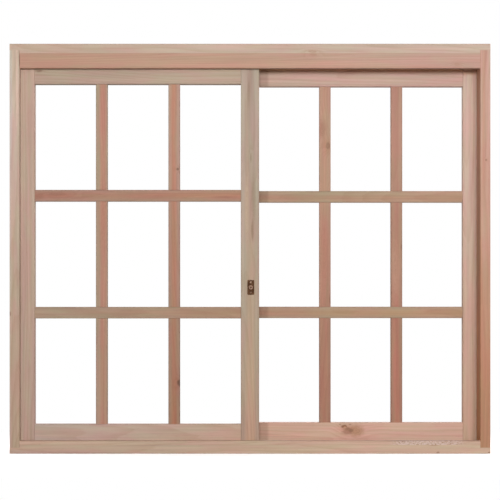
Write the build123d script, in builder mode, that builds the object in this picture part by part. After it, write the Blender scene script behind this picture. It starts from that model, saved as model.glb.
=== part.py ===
"""Two-sash sliding window in raw wood.

A ploughed frame holds two glazing-bar sashes that run past each other on track rails.
Millimetres, +Z up, +X to the right seen from the room, and -Y towards the room.
The origin is under the middle of the sill.
"""

import os

from build123d import *

# Frame
overall_width = 1200.0
overall_height = 1023.0
jamb_thickness = 25.0
head_thickness = 24.0
sill_thickness = 22.0
lip_thickness = 15.0
parting_thickness = 6.0
jamb_channel_depth = 15.0
guide_height = 37.0
parting_height = 27.0
sill_lip_height = 10.0
sill_lip_rounding = 4.0
sill_fall = 6.0
head_housing = 8.0
sill_housing = 7.0
frame_arris = 1.0

# Track rails
rail_width = 6.0
rail_height = 8.0
rail_rounding = 2.0

# Sashes
sash_thickness = 28.0
member_width = 46.0
top_rail_width = 56.0
bar_width = 29.0
bar_setback = 3.0
rebate_width = 9.0
rebate_depth = 11.0
lights_across = 3
lights_high = 3
sash_arris = 1.2

# Sash joinery
tenon_setback = 4.0
tenon_thickness = 10.0
tenon_height = 30.0
tenon_inset = 5.0
stub_setback = 3.0
stub_thickness = 8.0
stub_length = 8.0
stub_shoulder = 4.0
stub_end_gap = 1.0

# Fits between the sashes and the frame
running_clearance = 2.0
side_entry = 11.0
head_entry = 19.0
sill_clearance = 4.0
rail_side_clearance = 1.0
rail_top_clearance = 0.3

# Latch on the front sash
plate_width = 17.0
plate_height = 37.0
plate_thickness = 2.0
plate_proud = 0.5
plate_corner = 2.0
plate_offset = 2.0
plate_centre_z = 415.0
screw_spacing = 26.0
screw_hole = 3.0
screw_head = 5.6
knob_diameter = 11.0
knob_height = 3.0
knob_rounding = 1.2
knob_dish = 5.0
knob_dish_depth = 1.0

# The frame's plan, from the front face back
channel_width = sash_thickness + 2 * running_clearance
track_pitch = channel_width + parting_thickness
frame_depth = 2 * lip_thickness + channel_width + track_pitch
front_y = -frame_depth / 2
rear_y = frame_depth / 2
jamb_outer_x = overall_width / 2
jamb_inner_x = jamb_outer_x - jamb_thickness
front_channel_y = front_y + lip_thickness + channel_width / 2
channel_centres = (front_channel_y, front_channel_y + track_pitch)

# The frame's heights
head_underside_z = overall_height - head_thickness
guide_bottom_z = head_underside_z - guide_height
jamb_top_z = head_underside_z + head_housing
jamb_foot_z = sill_thickness - sill_housing
rail_top_z = sill_thickness + rail_height

# The front sash; the rear one is its mirror image, one track further back
sash_front_y = front_y + lip_thickness + running_clearance
sash_back_y = sash_front_y + sash_thickness
sash_middle_y = (sash_front_y + sash_back_y) / 2
rebate_y = sash_back_y - rebate_depth
bar_front_y = sash_front_y + bar_setback
sash_outer_x = -(jamb_inner_x + side_entry)
sash_inner_x = member_width / 2
light_left_x = sash_outer_x + member_width
light_right_x = sash_inner_x - member_width
sash_bottom_z = sill_thickness + sill_clearance
sash_top_z = guide_bottom_z + head_entry
light_bottom_z = sash_bottom_z + member_width
light_top_z = sash_top_z - top_rail_width
groove_width = rail_width + 2 * rail_side_clearance
groove_depth = rail_top_z + rail_top_clearance - sash_bottom_z

# Equal lights between the stiles and the rails
light_width = (light_right_x - light_left_x - (lights_across - 1) * bar_width) / lights_across
light_height = (light_top_z - light_bottom_z - (lights_high - 1) * bar_width) / lights_high
upright_edges = [
    light_left_x + (i + 1) * light_width + i * bar_width for i in range(lights_across - 1)
]
cross_edges = [
    light_bottom_z + (i + 1) * light_height + i * bar_width for i in range(lights_high - 1)
]

# Tenons of the rails and stub tenons of the bars, through the thickness of the sash
tenon_y = (sash_front_y + tenon_setback, sash_front_y + tenon_setback + tenon_thickness)
stub_y = (bar_front_y + stub_setback, bar_front_y + stub_setback + stub_thickness)
bottom_tenon_z = (light_bottom_z - tenon_inset - tenon_height, light_bottom_z - tenon_inset)
top_tenon_z = (light_top_z + tenon_inset, light_top_z + tenon_inset + tenon_height)


def block(x, y, z, mode=Mode.ADD):
    """Adds or cuts a block given by its low and high limits along each axis."""
    middle = ((x[0] + x[1]) / 2, (y[0] + y[1]) / 2, (z[0] + z[1]) / 2)
    with Locations(middle):
        Box(x[1] - x[0], y[1] - y[0], z[1] - z[0], mode=mode)


def make_jamb(channel_y):
    """Builds a left jamb: a board with a channel ploughed for the sash that closes into it."""
    with BuildPart() as jamb:
        with BuildSketch(Plane.XY.offset(jamb_foot_z)):
            with Locations((-(jamb_outer_x + jamb_inner_x) / 2, 0)):
                Rectangle(jamb_thickness, frame_depth)
        extrude(amount=jamb_top_z - jamb_foot_z)
        chamfer(jamb.edges().filter_by(Axis.Z), frame_arris)
        channel_x = -jamb_inner_x - jamb_channel_depth / 2
        with BuildSketch(Plane.XY.offset(jamb_foot_z)):
            with Locations((channel_x, channel_y)):
                Rectangle(jamb_channel_depth, channel_width)
        extrude(amount=jamb_top_z - jamb_foot_z, mode=Mode.SUBTRACT)
    return jamb.part


def make_head_board():
    """Builds the head board, housed underneath at both ends for the jamb tops."""
    with BuildPart() as head:
        with BuildSketch(Plane.YZ.offset(-jamb_inner_x)):
            with Locations((0, (head_underside_z + overall_height) / 2)):
                Rectangle(frame_depth, head_thickness)
        extrude(amount=2 * jamb_inner_x)
        with BuildSketch(Plane.YZ.offset(-jamb_outer_x)):
            with Locations((0, (jamb_top_z + overall_height) / 2)):
                Rectangle(frame_depth, overall_height - jamb_top_z)
        extrude(amount=2 * jamb_outer_x)
        top_edges = head.faces().sort_by(Axis.Z)[-1].edges().filter_by(Axis.X)
        chamfer(top_edges, frame_arris)
    return head.part


def make_head_guide(low_y, high_y, height):
    """Builds one of the strips under the head board that keep the sashes apart."""
    with BuildPart() as guide:
        with BuildSketch(Plane.YZ.offset(-jamb_inner_x)):
            with Locations(((low_y + high_y) / 2, head_underside_z - height / 2)):
                Rectangle(high_y - low_y, height)
        extrude(amount=2 * jamb_inner_x)
        lower_edges = guide.faces().sort_by(Axis.Z)[0].edges().filter_by(Axis.X)
        chamfer(lower_edges, frame_arris)
    return guide.part


def make_sill_board():
    """Builds the sill board, housed on top for the jamb feet, its rear edge falling outwards."""
    with BuildPart() as sill:
        with BuildSketch(Plane.YZ.offset(-jamb_inner_x)):
            with BuildLine():
                Polyline(
                    (front_y, 0),
                    (rear_y, 0),
                    (rear_y, sill_thickness - sill_fall),
                    (rear_y - lip_thickness, sill_thickness),
                    (front_y, sill_thickness),
                    close=True,
                )
            make_face()
        extrude(amount=2 * jamb_inner_x)
        with BuildSketch(Plane.YZ.offset(-jamb_outer_x)):
            with Locations((0, jamb_foot_z / 2)):
                Rectangle(frame_depth, jamb_foot_z)
        extrude(amount=2 * jamb_outer_x)
        foot_edges = sill.faces().sort_by(Axis.Z)[0].edges().filter_by(Axis.X)
        chamfer(foot_edges, frame_arris)
    return sill.part


def make_sill_lip():
    """Builds the lip along the room side of the sill, rounded on its top front edge."""
    with BuildPart() as lip:
        with BuildSketch(Plane.YZ.offset(-jamb_inner_x)):
            with Locations((front_y + lip_thickness / 2, sill_thickness + sill_lip_height / 2)):
                Rectangle(lip_thickness, sill_lip_height)
        extrude(amount=2 * jamb_inner_x)
        top_edges = lip.faces().sort_by(Axis.Z)[-1].edges().filter_by(Axis.X)
        fillet(top_edges.sort_by(Axis.Y)[0], sill_lip_rounding)
    return lip.part


def make_track_rail(centre_y):
    """Builds the rail that one sash straddles, rounded along its top."""
    with BuildPart() as rail:
        with BuildSketch(Plane.YZ.offset(-jamb_inner_x)):
            with Locations((centre_y, sill_thickness + rail_height / 2)):
                Rectangle(rail_width, rail_height)
        extrude(amount=2 * jamb_inner_x)
        top_edges = rail.faces().sort_by(Axis.Z)[-1].edges().filter_by(Axis.X)
        fillet(top_edges, rail_rounding)
    return rail.part


def cut_track_groove():
    """Cuts the groove under the sash that straddles the track rail, right across the piece."""
    block(
        (sash_outer_x, sash_inner_x),
        (sash_middle_y - groove_width / 2, sash_middle_y + groove_width / 2),
        (sash_bottom_z, sash_bottom_z + groove_depth),
        Mode.SUBTRACT,
    )


def make_stile(outer_x, inner_x):
    """Builds a stile with its glazing rebate and the mortises of the rails and cross bars."""
    inwards = 1 if inner_x > outer_x else -1
    rebate_x = inner_x - inwards * rebate_width
    stub_end_x = inner_x - inwards * (stub_length + stub_end_gap)
    with BuildPart() as stile:
        with BuildSketch(Plane.XY.offset(sash_bottom_z)):
            with BuildLine():
                Polyline(
                    (outer_x, sash_front_y),
                    (inner_x, sash_front_y),
                    (inner_x, rebate_y),
                    (rebate_x, rebate_y),
                    (rebate_x, sash_back_y),
                    (outer_x, sash_back_y),
                    close=True,
                )
            make_face()
        extrude(amount=sash_top_z - sash_bottom_z)
        chamfer(stile.edges().filter_by(Axis.Z).group_by(Axis.Y)[0], sash_arris)
        for tenon_z in (bottom_tenon_z, top_tenon_z):
            block(sorted((outer_x, inner_x)), tenon_y, tenon_z, Mode.SUBTRACT)
        for edge_z in cross_edges:
            stub_z = (edge_z + stub_shoulder, edge_z + bar_width - stub_shoulder)
            block(sorted((stub_end_x, inner_x)), stub_y, stub_z, Mode.SUBTRACT)
        cut_track_groove()
    return stile.part


def make_rail(outer_z, inner_z, tenon_z):
    """Builds a rail with its rebate, its through tenons and the mortises of the upright bars."""
    inwards = 1 if inner_z > outer_z else -1
    rebate_z = inner_z - inwards * rebate_width
    stub_end_z = inner_z - inwards * (stub_length + stub_end_gap)
    with BuildPart() as rail:
        with BuildSketch(Plane.YZ.offset(light_left_x)):
            with Locations(((sash_front_y + rebate_y) / 2, (outer_z + inner_z) / 2)):
                Rectangle(rebate_y - sash_front_y, abs(outer_z - inner_z))
        extrude(amount=light_right_x - light_left_x)
        chamfer(rail.edges().filter_by(Axis.X).group_by(Axis.Y)[0], sash_arris)
        with BuildSketch(Plane.YZ.offset(light_left_x - rebate_width)):
            with Locations(((rebate_y + sash_back_y) / 2, (outer_z + rebate_z) / 2)):
                Rectangle(rebate_depth, abs(outer_z - rebate_z))
        extrude(amount=light_right_x - light_left_x + 2 * rebate_width)
        block((sash_outer_x, sash_inner_x), tenon_y, tenon_z)
        for edge_x in upright_edges:
            stub_x = (edge_x + stub_shoulder, edge_x + bar_width - stub_shoulder)
            block(stub_x, stub_y, sorted((stub_end_z, inner_z)), Mode.SUBTRACT)
        cut_track_groove()
    return rail.part


def make_upright_bar(edge_x):
    """Builds an upright bar: its rear tongue runs through, its face stops at each cross bar."""
    face_x = (edge_x, edge_x + bar_width)
    tongue_x = (edge_x + rebate_width, edge_x + bar_width - rebate_width)
    stub_x = (edge_x + stub_shoulder, edge_x + bar_width - stub_shoulder)
    with BuildPart() as bar:
        for low_z in [light_bottom_z] + [z + bar_width for z in cross_edges]:
            block(face_x, (bar_front_y, rebate_y), (low_z, low_z + light_height))
        chamfer(bar.edges().filter_by(Axis.Z).group_by(Axis.Y)[0], sash_arris)
        tongue_z = (light_bottom_z - rebate_width, light_top_z + rebate_width)
        block(tongue_x, (rebate_y, sash_back_y), tongue_z)
        block(stub_x, stub_y, (light_bottom_z - stub_length, light_bottom_z))
        block(stub_x, stub_y, (light_top_z, light_top_z + stub_length))
    return bar.part


def make_cross_bar(edge_z):
    """Builds a cross bar: its face runs through, its rear tongue stops at each upright."""
    tongue_z = (edge_z + rebate_width, edge_z + bar_width - rebate_width)
    stub_z = (edge_z + stub_shoulder, edge_z + bar_width - stub_shoulder)
    with BuildPart() as bar:
        block((light_left_x, light_right_x), (bar_front_y, rebate_y), (edge_z, edge_z + bar_width))
        chamfer(bar.edges().filter_by(Axis.X).group_by(Axis.Y)[0], sash_arris)
        for low_x in [light_left_x] + [x + bar_width for x in upright_edges]:
            tongue_x = (low_x - rebate_width, low_x + light_width + rebate_width)
            block(tongue_x, (rebate_y, sash_back_y), tongue_z)
        block((light_left_x - stub_length, light_left_x), stub_y, stub_z)
        block((light_right_x, light_right_x + stub_length), stub_y, stub_z)
    return bar.part


def make_latched_stile(plain_stile):
    """Cuts the shallow bed of the latch plate into the front sash's meeting stile."""
    with BuildPart() as stile:
        add(plain_stile)
        with BuildSketch(Plane.XZ.offset(-sash_front_y)):
            with Locations((plate_offset, plate_centre_z)):
                RectangleRounded(plate_width, plate_height, plate_corner)
        extrude(amount=-(plate_thickness - plate_proud), mode=Mode.SUBTRACT)
    return stile.part


def make_latch_plate():
    """Builds the latch plate with its two countersunk screw holes."""
    plate_plane = Plane.XZ.offset(plate_proud - sash_front_y)
    with BuildPart() as plate:
        with BuildSketch(plate_plane):
            with Locations((plate_offset, plate_centre_z)):
                RectangleRounded(plate_width, plate_height, plate_corner)
        extrude(amount=-plate_thickness)
        with Locations(plate_plane):
            with Locations((plate_offset, plate_centre_z)):
                with GridLocations(0, screw_spacing, 1, 2):
                    CounterSinkHole(screw_hole / 2, screw_head / 2)
    return plate.part


def make_latch_knob():
    """Builds the round knob on the plate, its face dished in the middle."""
    with BuildPart() as knob:
        with BuildSketch(Plane.XZ.offset(plate_proud - sash_front_y)):
            with Locations((plate_offset, plate_centre_z)):
                Circle(knob_diameter / 2)
        extrude(amount=knob_height)
        fillet(knob.faces().sort_by(Axis.Y)[0].edges(), knob_rounding)
        with BuildSketch(Plane.XZ.offset(plate_proud + knob_height - sash_front_y)):
            with Locations((plate_offset, plate_centre_z)):
                Circle(knob_dish / 2)
        extrude(amount=-knob_dish_depth, mode=Mode.SUBTRACT)
    return knob.part


def mirrored(piece):
    """Mirrors a piece from the left of the window to the right."""
    with BuildPart() as copy:
        mirror(piece, about=Plane.YZ)
    return copy.part


def make_sash_pieces():
    """Builds the pieces of the front sash, by name."""
    pieces = {
        "outer_stile": make_stile(sash_outer_x, light_left_x),
        "meeting_stile": make_stile(sash_inner_x, light_right_x),
        "bottom_rail": make_rail(sash_bottom_z, light_bottom_z, bottom_tenon_z),
        "top_rail": make_rail(sash_top_z, light_top_z, top_tenon_z),
    }
    for number, edge_x in enumerate(upright_edges, start=1):
        pieces[f"upright_bar_{number}"] = make_upright_bar(edge_x)
    for number, edge_z in enumerate(cross_edges, start=1):
        pieces[f"cross_bar_{number}"] = make_cross_bar(edge_z)
    return pieces


sash_pieces = make_sash_pieces()
half_parting = parting_thickness / 2

window = {
    "left_jamb": make_jamb(channel_centres[0]),
    "right_jamb": mirrored(make_jamb(channel_centres[1])),
    "head_board": make_head_board(),
    "head_front_guide": make_head_guide(front_y, front_y + lip_thickness, guide_height),
    "head_parting_strip": make_head_guide(-half_parting, half_parting, parting_height),
    "head_rear_guide": make_head_guide(rear_y - lip_thickness, rear_y, guide_height),
    "sill_board": make_sill_board(),
    "sill_front_lip": make_sill_lip(),
    "front_track_rail": make_track_rail(channel_centres[0]),
    "rear_track_rail": make_track_rail(channel_centres[1]),
    "latch_plate": make_latch_plate(),
    "latch_knob": make_latch_knob(),
}
for name, piece in sash_pieces.items():
    window[f"front_sash_{name}"] = piece
    window[f"rear_sash_{name}"] = mirrored(piece).moved(Location((0, track_pitch, 0)))
window["front_sash_meeting_stile"] = make_latched_stile(sash_pieces["meeting_stile"])

os.makedirs("parts", exist_ok=True)
for name, piece in window.items():
    piece.label = name
    export_step(piece, f"parts/{name}.step")
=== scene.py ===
"""Dresses the sliding window: raw wood on every member, a worn latch, and a plain studio."""

import logging
import math
import random
from dataclasses import dataclass, field
from enum import Enum
from typing import Optional, Sequence, Union

import bmesh
import bpy
from mathutils import Matrix, Vector


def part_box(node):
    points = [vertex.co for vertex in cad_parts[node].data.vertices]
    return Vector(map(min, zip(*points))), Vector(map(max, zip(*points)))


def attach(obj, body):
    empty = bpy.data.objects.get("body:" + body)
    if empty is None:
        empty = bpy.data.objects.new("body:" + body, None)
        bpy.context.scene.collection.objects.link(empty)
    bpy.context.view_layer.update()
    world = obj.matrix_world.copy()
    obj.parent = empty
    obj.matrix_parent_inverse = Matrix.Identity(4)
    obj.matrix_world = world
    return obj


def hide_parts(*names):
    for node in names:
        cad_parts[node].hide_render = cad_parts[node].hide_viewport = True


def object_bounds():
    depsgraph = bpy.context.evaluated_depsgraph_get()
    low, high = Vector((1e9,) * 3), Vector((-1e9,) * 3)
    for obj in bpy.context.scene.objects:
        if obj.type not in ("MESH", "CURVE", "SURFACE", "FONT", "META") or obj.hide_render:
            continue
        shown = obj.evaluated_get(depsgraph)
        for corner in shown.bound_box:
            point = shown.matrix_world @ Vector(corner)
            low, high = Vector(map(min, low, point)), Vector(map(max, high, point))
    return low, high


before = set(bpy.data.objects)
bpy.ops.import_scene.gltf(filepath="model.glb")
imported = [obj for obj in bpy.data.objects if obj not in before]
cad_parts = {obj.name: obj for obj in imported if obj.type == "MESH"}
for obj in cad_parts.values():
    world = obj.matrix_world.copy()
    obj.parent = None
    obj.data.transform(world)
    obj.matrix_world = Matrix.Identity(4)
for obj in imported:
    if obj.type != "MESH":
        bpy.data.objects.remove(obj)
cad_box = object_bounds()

log = logging.getLogger("sliding_window")

# In pixels, metres and degrees.
IMAGE_SIDE = 500
MERGE_GAP = 1e-7
CREASE = 40.0
ZERO = (0.0, 0.0, 0.0)

Socket = bpy.types.NodeSocket
Material = bpy.types.Material
BMesh = bmesh.types.BMesh
Value = Union[Socket, float]
Spot = Union[Socket, Sequence[float]]
Profile = Sequence[tuple[float, float]]


class Grain(Enum):
    """The way the grain runs: along the member's longer side, or through the window."""

    ALONG = "along"
    THROUGH = "through"


class Weathering(Enum):
    """How a metal surface is marked."""

    RUBBED = "rubbed"
    DRAWN = "drawn"


@dataclass(frozen=True)
class Tone:
    """A display colour of 0 to 255 a channel."""

    red: float
    green: float
    blue: float

    def linear(self) -> tuple[float, float, float, float]:
        """Turns the colour into linear light by the sRGB curve.

        Returns:
            The light of each channel, and full alpha.
        """
        parts = [c / 255.0 for c in (self.red, self.green, self.blue)]
        light = [c / 12.92 if c <= 0.04045 else ((c + 0.055) / 1.055) ** 2.4 for c in parts]
        return (*light, 1.0)


@dataclass(frozen=True)
class Figure:
    """A noise: its scale per metre on each axis, its octaves, and how it is stirred and eased."""

    scale: tuple[float, float, float]
    detail: float = 2.0
    roughness: float = 0.5
    stir: float = 0.0
    step: tuple[float, ...] = (0.0, 1.0)


class NodeSketch:
    """One material's node tree, drawn with short calls."""

    # The places of the colours among a Mix node's sockets.
    MIX_BELOW, MIX_ABOVE, MIX_RESULT = 6, 7, 2

    def __init__(self, owner: Union[Material, bpy.types.World]) -> None:
        """Clears the owner's nodes.

        Args:
            owner: the material or world whose nodes are drawn.
        """
        owner.use_nodes = True
        self.owner = owner
        self.tree = owner.node_tree
        self.tree.nodes.clear()

    @classmethod
    def of_material(cls, name: str) -> "NodeSketch":
        """Returns the sketch of a new material."""
        return cls(bpy.data.materials.new(name))

    def node(self, kind: str, inputs: Optional[dict] = None, **settings: object) -> bpy.types.Node:
        """Adds a node.

        Args:
            kind: the node's type name, without its ShaderNode prefix.
            inputs: what feeds its inputs, by their name or number.
            settings: properties to set on the node.

        Returns:
            The new node.
        """
        made = self.tree.nodes.new("ShaderNode" + kind)
        for key, value in settings.items():
            setattr(made, key, value)
        for key, value in (inputs or {}).items():
            self.feed(made.inputs[key], value)
        return made

    def feed(self, socket: Socket, value: object) -> None:
        """Links a socket or sets its own value.

        Args:
            socket: the input to feed.
            value: another node's output, or a plain value.
        """
        if isinstance(value, Socket):
            self.tree.links.new(value, socket)
        else:
            socket.default_value = value

    def math(self, operation: str, *values: Value) -> Socket:
        """Returns the answer of a Math node."""
        return self.node("Math", dict(enumerate(values)), operation=operation).outputs[0]

    def times(self, first: Value, second: Value) -> Socket:
        """Returns the product of two numbers."""
        return self.math("MULTIPLY", first, second)

    def vector(self, operation: str, *values: Spot) -> Socket:
        """Returns the answer of a Vector Math node, a number for LENGTH and a vector otherwise."""
        made = self.node("VectorMath", dict(enumerate(values)), operation=operation)
        return made.outputs["Value" if operation == "LENGTH" else "Vector"]

    def split(self, vector: Socket) -> tuple[Socket, Socket, Socket]:
        """Returns a vector's three parts."""
        return tuple(self.node("SeparateXYZ", {0: vector}).outputs)

    def join(self, x: Value, y: Value, z: Value) -> Socket:
        """Returns a vector made of three parts."""
        return self.node("CombineXYZ", {0: x, 1: y, 2: z}).outputs[0]

    def grey(self, light: Socket) -> Socket:
        """Returns a grey as light as a number says."""
        return self.join(light, light, light)

    def noise(self, spot: Socket, figure: Figure, output: str = "Fac") -> Socket:
        """Returns a noise of 0 to 1 at a place in metres, or three of them from its Color."""
        return self.node("TexNoise", {
            "Vector": self.vector("MULTIPLY", spot, figure.scale), "Scale": 1.0,
            "Detail": figure.detail, "Roughness": figure.roughness,
            "Distortion": figure.stir}).outputs[output]

    def sway(self, spot: Socket, figure: Figure, reach: Sequence[float]) -> Socket:
        """Returns a shift that wanders from place to place, within half its reach each way."""
        wander = self.noise(spot, figure, "Color")
        return self.vector("MULTIPLY", self.vector("SUBTRACT", wander, (0.5, 0.5, 0.5)), reach)

    def ease(self, value: Value, low: float, high: float, start: float = 0.0,
             end: float = 1.0) -> Socket:
        """Returns a smooth step that goes from start, at low, to end, at high."""
        return self.node("MapRange", {"Value": value, "From Min": low, "From Max": high,
                                      "To Min": start, "To Max": end},
                         interpolation_type="SMOOTHSTEP").outputs["Result"]

    def edge(self, value: Value, place: float, soft: float, *ends: float) -> Socket:
        """Returns a smooth step over a place, from so much before it to as much after it."""
        return self.ease(value, place - soft, place + soft, *ends)

    def layer(self, spot: Socket, figure: Figure, *ends: float) -> Socket:
        """Returns a noise eased over its own step, between two other answers if they are given."""
        return self.ease(self.noise(spot, figure), *figure.step, *ends)

    def mix(self, share: Value, below: object, above: object, blend: str = "MIX") -> Socket:
        """Returns a colour with a share of another blended over it."""
        sockets = {"Factor": share, self.MIX_BELOW: below, self.MIX_ABOVE: above}
        return self.node("Mix", sockets, data_type="RGBA",
                         blend_type=blend).outputs[self.MIX_RESULT]

    def object_spot(self, turn: Sequence[float] = ZERO,
                    shift: Sequence[float] = ZERO) -> Socket:
        """Returns the place on the piece, turned in radians and then shifted in metres."""
        return self.node("Mapping", {"Vector": self.node("TexCoord").outputs["Object"],
                                     "Rotation": turn, "Location": shift}).outputs["Vector"]

    def facing(self) -> tuple[Socket, Socket, Socket]:
        """Returns the three parts of the way the surface faces."""
        return self.split(self.node("TexCoord").outputs["Normal"])

    def bump(self, height: Socket, depth: float, strength: float) -> Socket:
        """Returns a normal that follows a height, with its depth in metres."""
        return self.node("Bump", {"Strength": strength, "Distance": depth,
                                  "Height": height}).outputs["Normal"]

    def close(self, shader: Socket) -> Material:
        """Returns the material with its surface linked."""
        self.node("OutputMaterial", {"Surface": shader})
        return self.owner

    def surface(self, colour: Socket, rough: Socket, normal: Socket, gloss: float,
                bare: float = 0.0) -> Material:
        """Returns the material with one plain shader, whose bare share is metal."""
        return self.close(self.node("BsdfPrincipled", {
            "Base Color": colour, "Roughness": rough, "Normal": normal,
            "Specular IOR Level": gloss, "Metallic": bare}).outputs["BSDF"])


@dataclass(frozen=True)
class KnotOrMark:
    """A branch's end in a member, or a plain mark such as a seam line or a patch of painted shade,
    at a place on the window seen from the room, in metres.
    """

    x: float
    z: float
    half_width: float
    half_height: float
    darkness: float = 1.0
    halo: float = 1.0
    swirl: float = 0.006
    tone: Tone = Tone(128, 88, 66)
    softness: float = 0.2
    core: float = 0.4

    @classmethod
    def mark(cls, x: float, z: float, half_width: float, half_height: float, darkness: float,
             tone: Tone, softness: float = 0.6, swirl: float = 0.0) -> "KnotOrMark":
        """Returns a plain mark, with no halo round it and no paler core."""
        return cls(x, z, half_width, half_height, darkness, 0.0, swirl, tone, softness, 0.0)


@dataclass(frozen=True)
class HeartwoodAndShadeStripe:
    """A stripe along a board, of heartwood on most members and of painted warm shade on a few:
    where it lies across, and its tones at both ends.
    """

    middle: float
    half: float
    softness: float
    start: Tone
    end: Tone


@dataclass(frozen=True)
class Scar:
    """A stretch where the planing has torn the fibres, in metres along the window."""

    left: float
    right: float
    tone: Tone
    fringe: float = 0.02


@dataclass(frozen=True)
class MeetingStileShadow:
    """A painted shadow of the front meeting stile on the rear sash's room face, up to a place along
    the window, in metres.
    """

    right: float
    fringe: float = 0.005


@dataclass(frozen=True)
class WoodFinish:
    """Raw planed wood of one member, with its own tree, tones, and every knot and mark on it."""

    # From start to end: on the upright members the start, at the foot, is darker, partly the wood's
    # own tone and partly painted shade.
    start: Tone
    end: Tone
    flush: Tone
    seed: int
    grain: Grain = Grain.ALONG
    streaks: float = 0.55
    knots_and_marks: tuple[KnotOrMark, ...] = ()
    heartwood_and_shade: Optional[HeartwoodAndShadeStripe] = None
    scar: Optional[Scar] = None
    # A painted shadow of the front meeting stile, on rear members only.
    stile_shadow: Optional[MeetingStileShadow] = None

    def material(self, name: str, low: Vector, high: Vector) -> Material:
        """Returns the wood of the named member between its lowest and highest corner."""
        return Board(self, name, low, high).material()


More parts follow.
